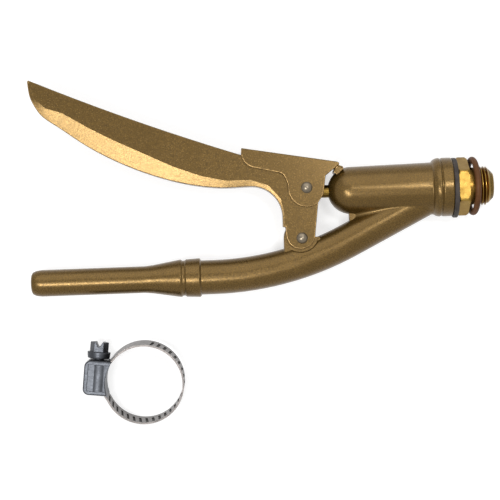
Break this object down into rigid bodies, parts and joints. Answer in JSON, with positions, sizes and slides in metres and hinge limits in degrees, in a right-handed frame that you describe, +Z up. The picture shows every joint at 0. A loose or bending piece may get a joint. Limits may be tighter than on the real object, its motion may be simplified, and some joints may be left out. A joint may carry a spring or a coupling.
{
  "type": "squeeze lever hose nozzle",
  "caption": "Cast hose nozzle with a squeeze lever that pulls a spring-loaded valve off its seat, a barbed hose tail, a threaded outlet and a loose worm-drive hose clamp.",
  "frame": {"origin": "on the axis of the valve chamber and outlet thread, at the outlet face of the brass hexagon", "axes": "+X along the chamber and out of the outlet, +Y towards the lever, +Z up off the surface that the nozzle and its clamp lie on; Z = 0 is the nozzle's own middle plane"},
  "size_m": [0.2001, 0.1499, 0.0258],
  "materials": {
    "hammered_bronze": "fine hammered metallic bronze paint, satin",
    "bare_brass": "turned, bare",
    "brown_rubber": "matte",
    "black_rubber": "matte",
    "grey_washer": "satin",
    "rivet_steel": "bright",
    "zinc_steel": "zinc plated, slightly dull"
  },
  "bodies": {
    "nozzle": {"body_casting": "hammered_bronze", "outlet_fitting": "bare_brass", "collar_washer": "grey_washer", "outlet_o_ring": "brown_rubber", "packing_follower": "bare_brass", "stem_packing": "black_rubber", "return_spring": "rivet_steel"},
    "stem": {"valve_stem": "bare_brass", "disc_holder": "bare_brass", "seat_disc": "black_rubber", "disc_washer": "rivet_steel", "lock_nut": "rivet_steel"},
    "lever": {"lever": "hammered_bronze", "lever_bracket": "hammered_bronze", "pivot_rivet": "rivet_steel", "link_rivet": "rivet_steel"},
    "clamp": {"clamp_band": "zinc_steel", "clamp_housing": "zinc_steel", "clamp_saddle": "zinc_steel"},
    "clamp_screw": {"clamp_screw": "zinc_steel"}
  },
  "joints": [
    {"name": "lever_squeeze", "type": "hinge", "parent": "nozzle", "child": "lever", "pos_m": [-0.0722, -0.0198, 0], "axis": [0, 0, 1], "range_deg": [0, 18], "stiffness_Nm_per_rad": 1.4, "springref_deg": -26.36},
    {"name": "stem_slide", "type": "slide", "parent": "nozzle", "child": "stem", "axis": [-1, 0, 0], "range_m": [0, 0.00678], "deforming": ["return_spring"]},
    {"name": "clamp_lift", "type": "slide", "parent": "nozzle", "child": "clamp", "axis": [0, 0, 1], "range_m": [0, 0.03]},
    {"name": "clamp_screw_turn", "type": "hinge", "parent": "clamp", "child": "clamp_screw", "pos_m": [-0.16317, -0.07741, -0.00478], "axis": [0.1132, 0.9932, 0.026], "continuous": true}
  ],
  "couplings": [
    {"joint": "stem_slide", "follows": "lever_squeeze", "m_per_rad": 0.02155}
  ]
}
